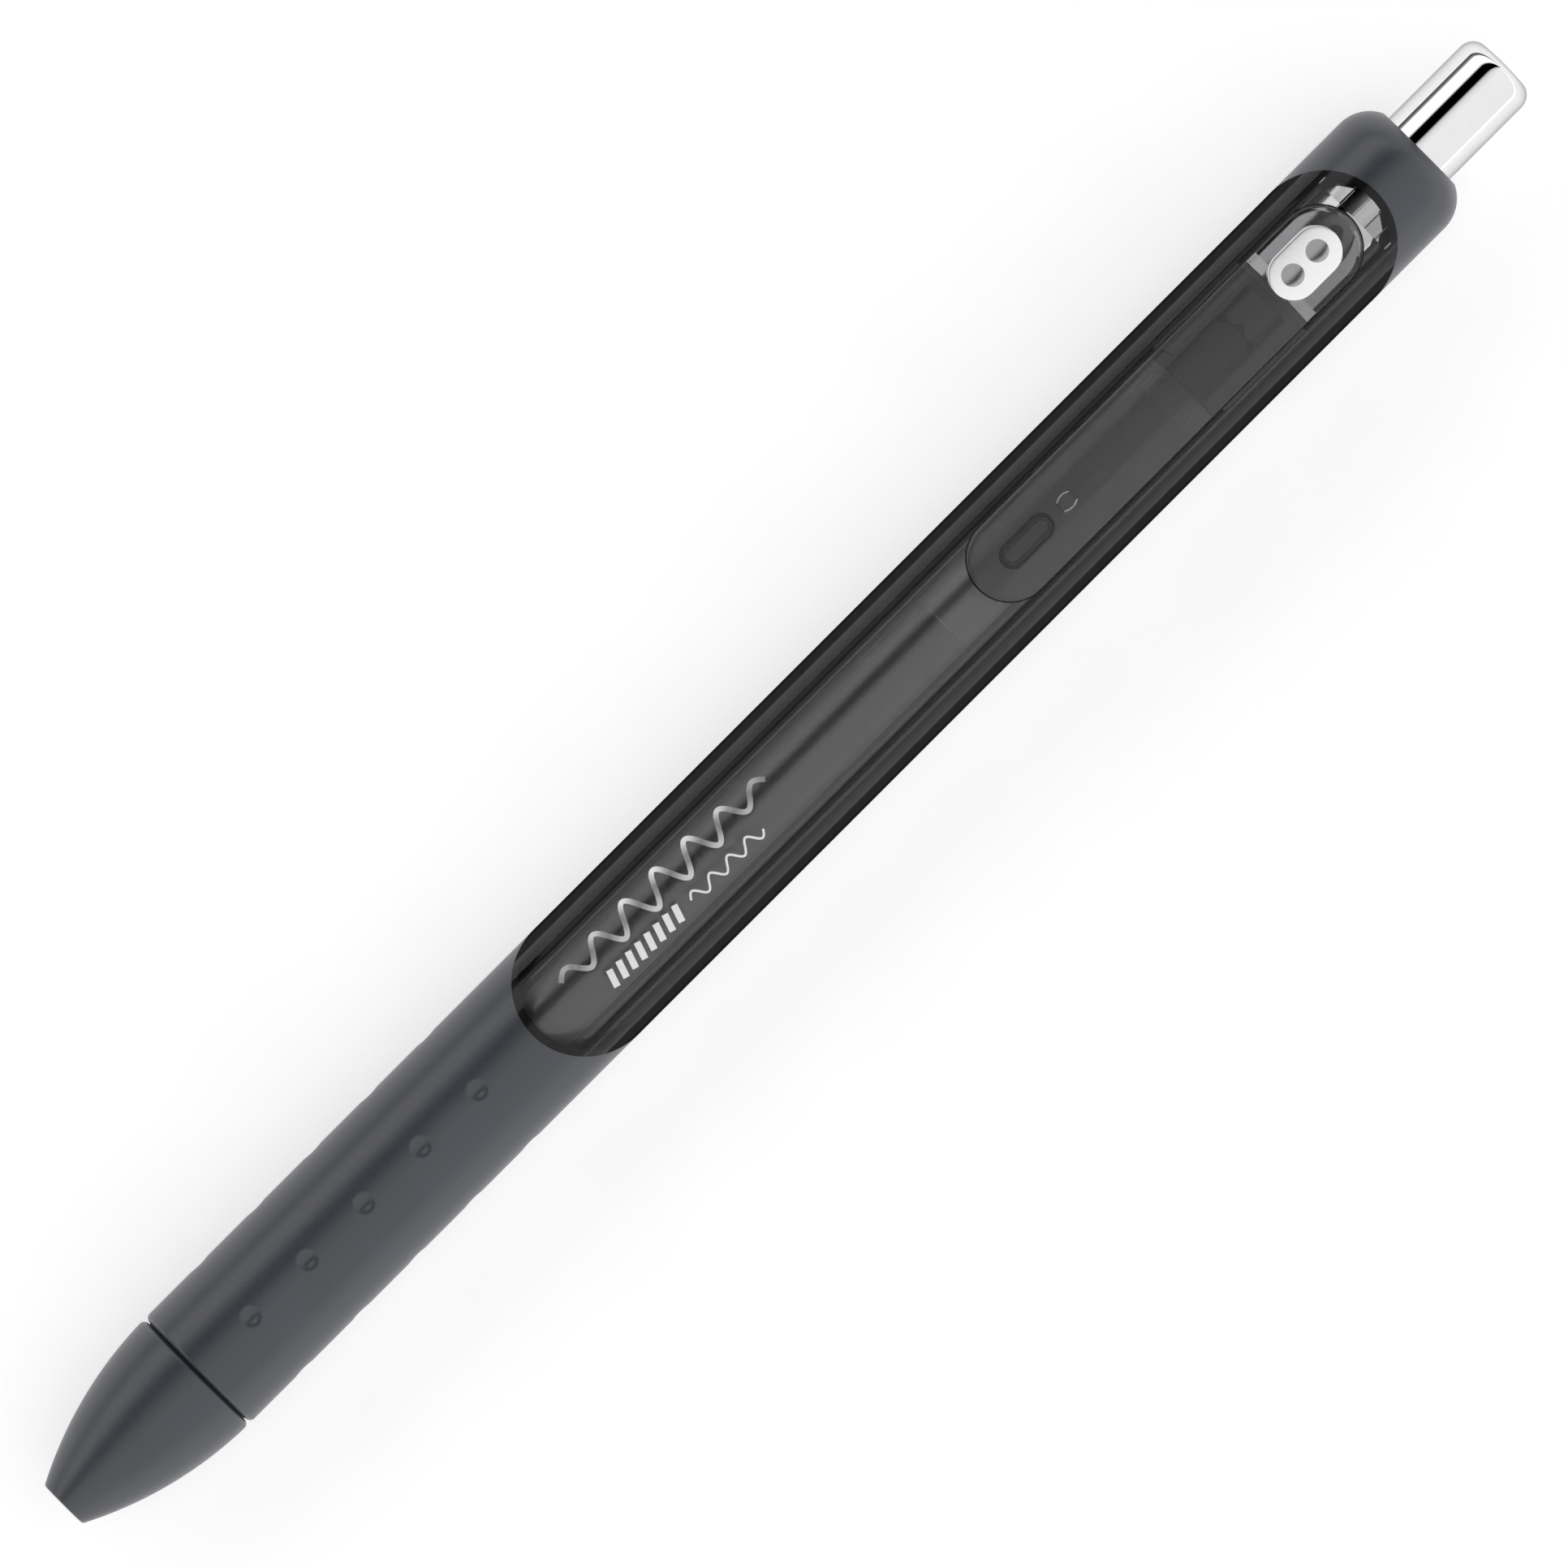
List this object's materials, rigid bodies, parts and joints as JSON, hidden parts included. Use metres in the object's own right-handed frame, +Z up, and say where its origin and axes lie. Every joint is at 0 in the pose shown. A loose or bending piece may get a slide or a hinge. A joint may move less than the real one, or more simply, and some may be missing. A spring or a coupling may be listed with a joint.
{
  "type": "gel pen",
  "caption": "Slim retractable gel pen with a rubber jacket over a smoke barrel, a long window, a sprung pocket clip and a chromed click button.",
  "frame": {"origin": "under the middle of the pen's length, on the surface that the pen lies on", "axes": "+X along the pen from the nose to the button, +Z up through the clip's face, +Y across the pen"},
  "size_m": [0.145, 0.0106, 0.0132],
  "materials": {
    "jacket_rubber": "soft matt grip rubber",
    "smoke_plastic": "clear smoke plastic, polished",
    "clip_plastic": "dark smoke plastic, polished",
    "guide_plastic": "moulded",
    "bush_metal": "plated",
    "badge_metal": "satin silver plate",
    "nose_plastic": "moulded",
    "spring_steel": "drawn wire",
    "button_chrome": "mirror plated",
    "cam_plastic": "moulded",
    "rotor_plastic": "moulded",
    "refill_plastic": "natural clear tube",
    "holder_plastic": "natural moulded",
    "tip_metal": "turned",
    "ball_metal": "ground carbide",
    "ink": "wet black gel",
    "follower_grease": "clear grease",
    "plug_plastic": "moulded"
  },
  "bodies": {
    "barrel": {"barrel_jacket": "jacket_rubber", "barrel_tube": "smoke_plastic", "guide_crown": "guide_plastic", "end_bush": "bush_metal", "clip_root": "clip_plastic", "clip_badge": "badge_metal"},
    "clip": {"clip_arm": "clip_plastic"},
    "nose": {"nose_core": "nose_plastic", "nose_skin": "jacket_rubber", "return_spring": "spring_steel"},
    "button": {"button_cap": "button_chrome", "cam_plunger": "cam_plastic"},
    "rotor": {"rotor_cam": "rotor_plastic"},
    "refill": {"refill_tube": "refill_plastic", "tip_holder": "holder_plastic", "writing_tip": "tip_metal", "ink_column": "ink", "ink_follower": "follower_grease", "tail_plug": "plug_plastic"},
    "ball": {"writing_ball": "ball_metal"}
  },
  "joints": [
    {"name": "button_press", "type": "slide", "parent": "barrel", "child": "button", "axis": [-1, 0, 0], "range_m": [0, 0.006], "stiffness_N_per_m": 250, "springref_m": -0.004},
    {"name": "rotor_turn", "type": "hinge", "parent": "button", "child": "rotor", "pos_m": [0.0435, 0, 0.00528], "axis": [1, 0, 0], "range_deg": [0, 22.5]},
    {"name": "refill_slide", "type": "slide", "parent": "barrel", "child": "refill", "axis": [-1, 0, 0], "range_m": [0, 0.006], "deforming": ["return_spring"]},
    {"name": "ball_roll", "type": "hinge", "parent": "refill", "child": "ball", "pos_m": [-0.07055, 0, 0.00528], "axis": [0, 1, 0], "continuous": true},
    {"name": "clip_flex", "type": "hinge", "parent": "barrel", "child": "clip", "pos_m": [0.04844, 0, 0.01238], "axis": [0, 1, 0], "range_deg": [0, 4], "stiffness_Nm_per_rad": 1.2},
    {"name": "nose_off", "type": "slide", "parent": "barrel", "child": "nose", "axis": [-1, 0, 0], "range_m": [0, 0.016]}
  ],
  "couplings": [
    {"joint": "refill_slide", "follows": "button_press", "ratio": 1},
    {"joint": "rotor_turn", "follows": "button_press", "rad_per_m": 65.44}
  ]
}
